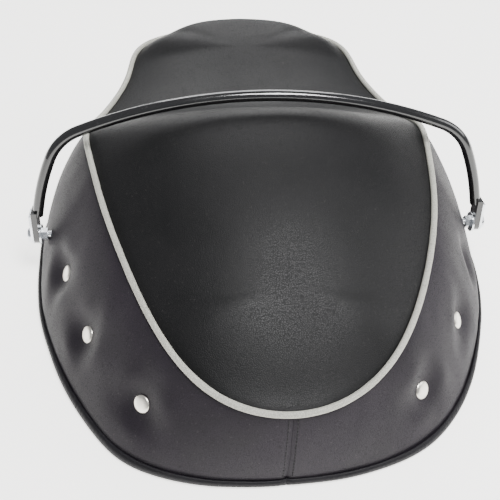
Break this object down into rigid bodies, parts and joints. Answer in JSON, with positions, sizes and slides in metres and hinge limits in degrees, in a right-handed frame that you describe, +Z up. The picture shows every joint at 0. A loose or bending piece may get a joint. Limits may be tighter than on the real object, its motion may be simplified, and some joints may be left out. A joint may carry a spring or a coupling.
{
  "type": "motorcycle seat",
  "caption": "Two-up motorcycle seat with a raised passenger hump, contrast piping, a flared stud-fastened skirt and a swinging grab rail.",
  "frame": {"origin": "bottom centre of the whole seat's bounding box, on the plane the hem rests on", "axes": "+Y towards the nose, +Z up out of the cushion, +X to the rider's right"},
  "size_m": [0.414, 0.4938, 0.1748],
  "materials": {
    "pan_steel": "satin",
    "foam": "matte",
    "top_vinyl": "satin",
    "side_vinyl": "satin",
    "hem_vinyl": "satin",
    "piping_vinyl": "satin",
    "rail_paint": "gloss",
    "stud_nickel": "polished",
    "zinc_plate": "satin"
  },
  "bodies": {
    "seat": {"seat_pan": "pan_steel", "pan_brace_rear": "pan_steel", "pan_brace_middle": "pan_steel", "pan_brace_front": "pan_steel", "spring_mount_plate": "pan_steel", "spring_mount_nuts": "zinc_plate", "nose_clevis": "pan_steel", "foam_cushion": "foam", "top_cover": "top_vinyl", "side_cover_left": "side_vinyl", "side_cover_right": "side_vinyl", "hem_band_left": "hem_vinyl", "hem_band_right": "hem_vinyl", "piping": "piping_vinyl", "press_studs_left": "stud_nickel", "press_studs_right": "stud_nickel", "stud_washers_left": "zinc_plate", "stud_washers_right": "zinc_plate", "pivot_bolt_left": "zinc_plate", "pivot_bolt_right": "zinc_plate", "pivot_washer_left": "zinc_plate", "pivot_washer_right": "zinc_plate", "pivot_nut_left": "zinc_plate", "pivot_nut_right": "zinc_plate", "rail_anchor_left": "pan_steel", "rail_anchor_right": "pan_steel", "anchor_nut_left": "zinc_plate", "anchor_nut_right": "zinc_plate"},
    "rail": {"grab_rail": "rail_paint", "rail_end_plate_left": "zinc_plate", "rail_end_plate_right": "zinc_plate"}
  },
  "joints": [
    {"name": "grab_rail_tilt", "type": "hinge", "parent": "seat", "child": "rail", "pos_m": [0, -0.012, 0.045], "axis": [1, 0, 0], "range_deg": [-28, 36]}
  ]
}
